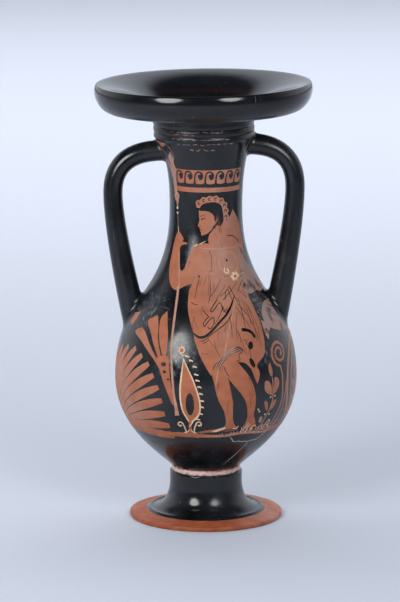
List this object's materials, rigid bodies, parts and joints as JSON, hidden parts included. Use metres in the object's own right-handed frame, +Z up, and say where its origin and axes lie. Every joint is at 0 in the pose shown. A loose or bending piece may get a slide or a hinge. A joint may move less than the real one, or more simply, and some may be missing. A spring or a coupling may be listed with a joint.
{
  "type": "pelike",
  "caption": "Hollow two-handled clay jar with a wide round lip, tall narrow neck, full belly and a spreading foot, black gloss with a painted figure.",
  "frame": {"origin": "centre of the resting ring under the foot, on the surface that the vessel stands on", "axes": "+Z up along the vessel's axis of turning, -Y towards the side with the painted figure, X through the two handles"},
  "size_m": [0.1578, 0.1578, 0.3211],
  "materials": {
    "fired_clay": "black gloss slip over orange fired clay, with reserved and painted ornament"
  },
  "bodies": {
    "root": {"pelike": "fired_clay"}
  },
  "joints": []
}
